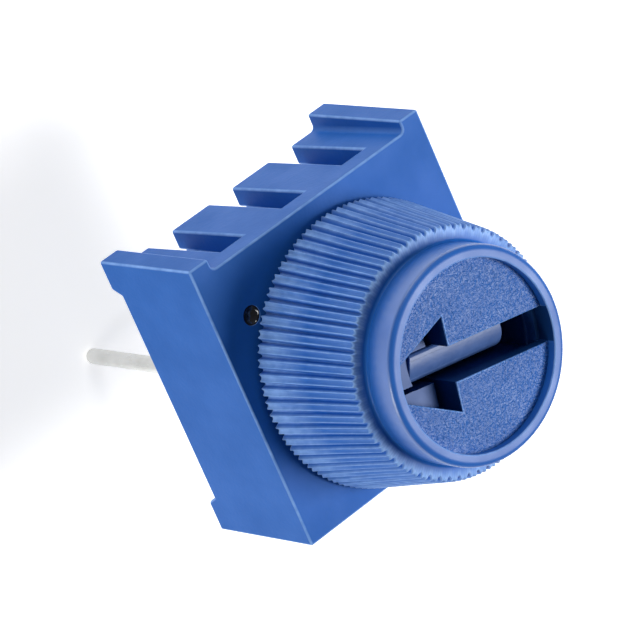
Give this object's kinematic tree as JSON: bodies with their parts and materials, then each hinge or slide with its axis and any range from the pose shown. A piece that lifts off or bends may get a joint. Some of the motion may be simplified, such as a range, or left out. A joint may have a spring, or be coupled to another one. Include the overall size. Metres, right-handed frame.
{
  "type": "trimmer potentiometer",
  "caption": "Square sealed trimmer potentiometer with in-line wire pins, a notched side and a ribbed finger knob that turns the wiper inside.",
  "frame": {"origin": "on the knob's turning axis, where the middle pin crosses the board plane that the feet stand on", "axes": "+Z along the turning axis from the board to the knob, +Y towards the notched side, +X along the row of pins from pin 1 to pin 3"},
  "size_m": [0.0096, 0.0097, 0.0167],
  "materials": {
    "housing_plastic": "moulded, satin",
    "knob_plastic": "moulded, satin, spark-textured disc",
    "rotor_plastic": "moulded, smooth",
    "sealing_resin": "cast",
    "alumina": "fired ceramic",
    "cermet_ink": "printed and fired",
    "conductor_ink": "printed and fired",
    "tinned_wire": "hot-dip tinned",
    "solder": "reflowed",
    "spring_alloy": "stamped",
    "seal_rubber": "moulded"
  },
  "bodies": {
    "base": {"housing": "housing_plastic", "epoxy_seal": "sealing_resin", "substrate": "alumina", "resistive_track": "cermet_ink", "collector": "conductor_ink", "end_pad_1": "conductor_ink", "end_pad_3": "conductor_ink", "pin_1": "tinned_wire", "pin_2": "tinned_wire", "pin_3": "tinned_wire", "solder_1": "solder", "solder_2": "solder", "solder_3": "solder"},
    "turning": {"rotor": "rotor_plastic", "wiper": "spring_alloy", "o_ring": "seal_rubber", "knob": "knob_plastic"}
  },
  "joints": [
    {"name": "knob_turn", "type": "hinge", "parent": "base", "child": "turning", "pos_m": [0, 0, 0.0046], "axis": [0, 0, 1], "range_deg": [-233, 77]}
  ]
}
